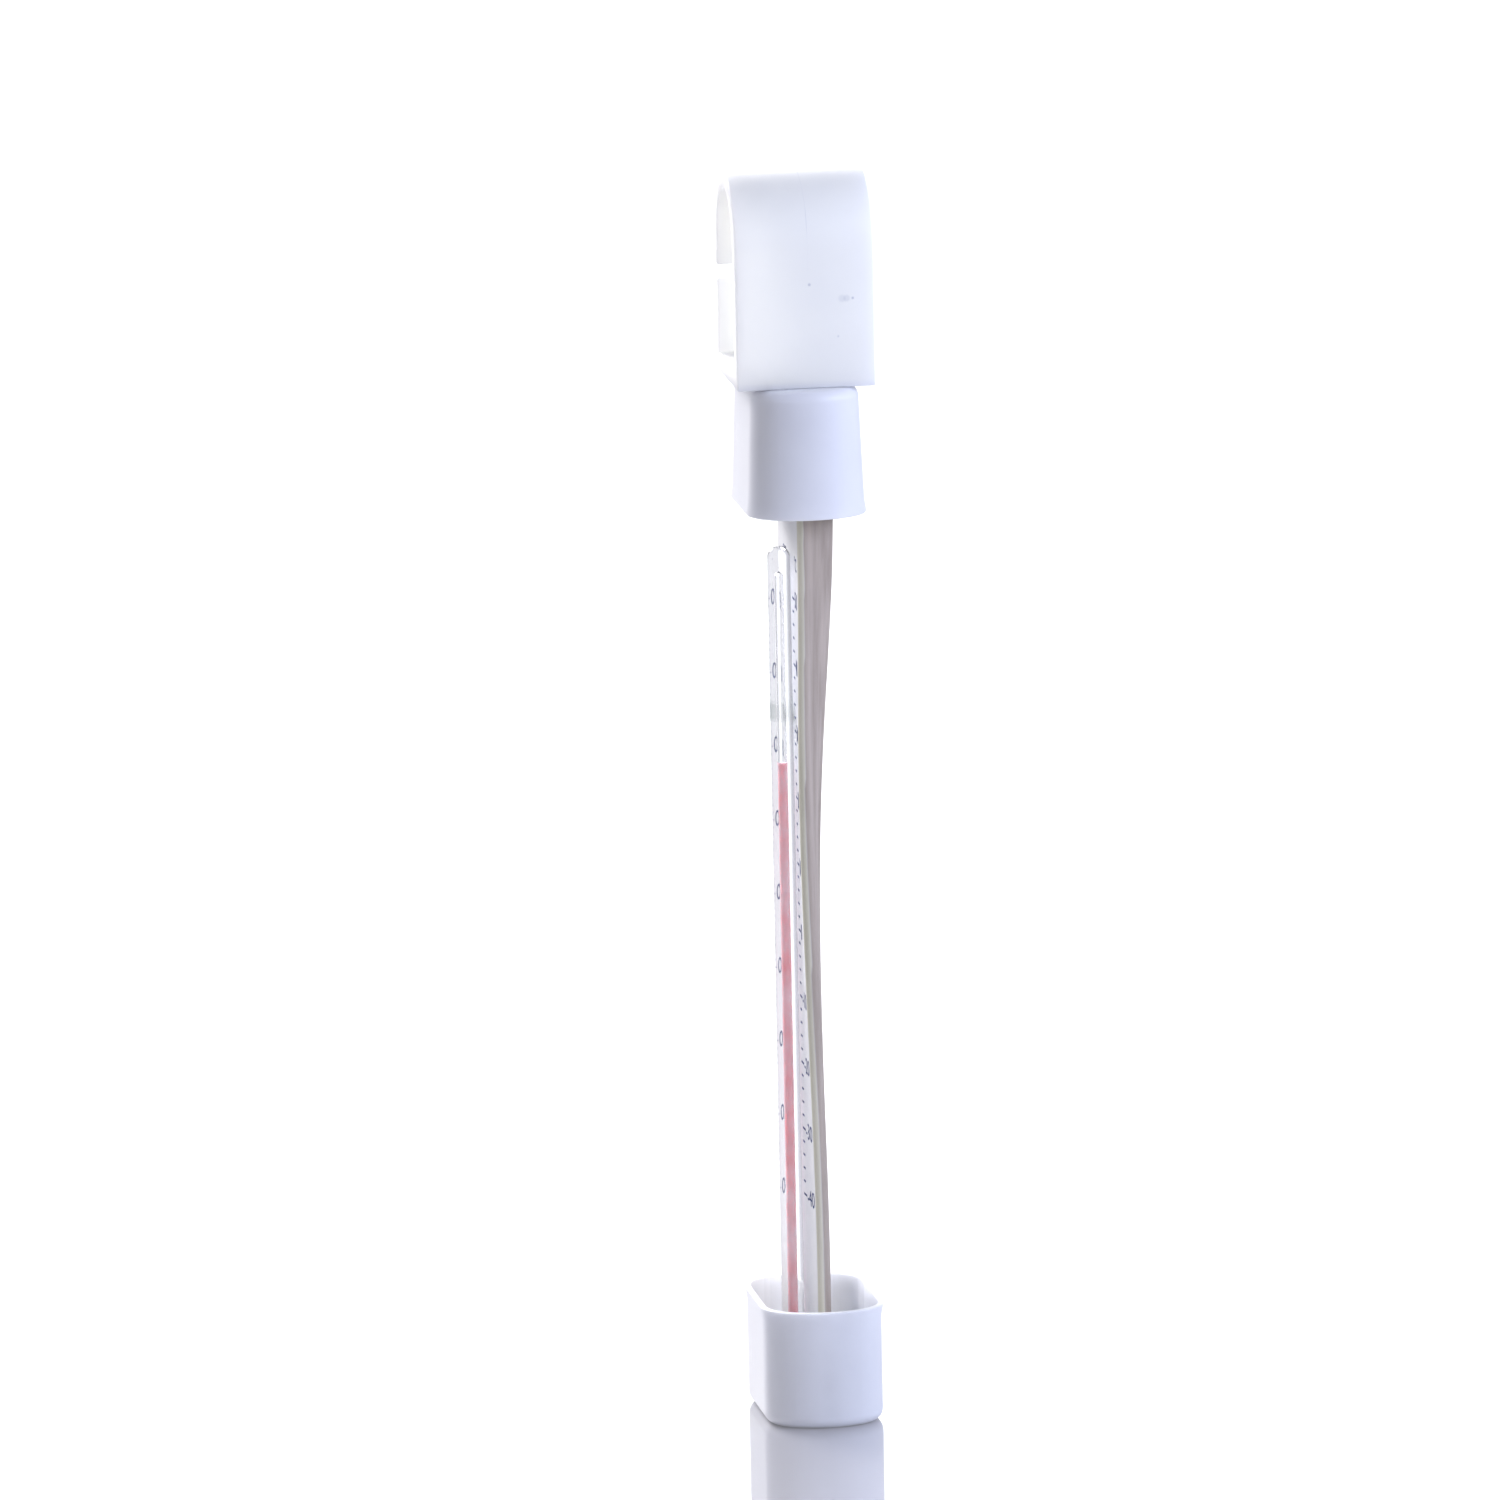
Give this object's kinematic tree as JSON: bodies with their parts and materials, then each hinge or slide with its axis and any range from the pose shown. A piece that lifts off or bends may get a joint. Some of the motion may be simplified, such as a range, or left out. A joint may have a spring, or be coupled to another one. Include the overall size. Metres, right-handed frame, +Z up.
{
  "type": "tube thermometer",
  "caption": "Liquid-in-glass thermometer in a flat clear tube with white end caps, a folded scale card and a loop clip; stands on its base or hangs from a rail.",
  "frame": {"origin": "centre of the bottom cap's underside, the face that the thermometer stands on", "axes": "+Z up along the tube; the scale faces -Y; the clip's loop runs along Y and its snap gap is in the -X wall"},
  "size_m": [0.0262, 0.0184, 0.1662],
  "materials": {
    "white_plastic": "satin white moulding with parting lines",
    "clear_plastic": "clear, polished",
    "card": "white printed card, dark blue ink",
    "stem_glass": "drawn glass, flame sealed",
    "red_spirit": "dyed red liquid",
    "clear_strap": "clear film band"
  },
  "bodies": {
    "thermometer": {"top_cap_with_clip": "white_plastic", "bottom_cap": "white_plastic", "housing_tube": "clear_plastic", "scale_card": "card", "capillary_glass": "stem_glass", "spirit_bulb": "red_spirit", "capillary_strap": "clear_strap"},
    "spirit": {"spirit_column": "red_spirit"}
  },
  "joints": [
    {"name": "spirit_level", "type": "slide", "parent": "thermometer", "child": "spirit", "axis": [0, 0, 1], "range_m": [-0.0577, 0.0222], "deforming": ["spirit_column"]}
  ]
}
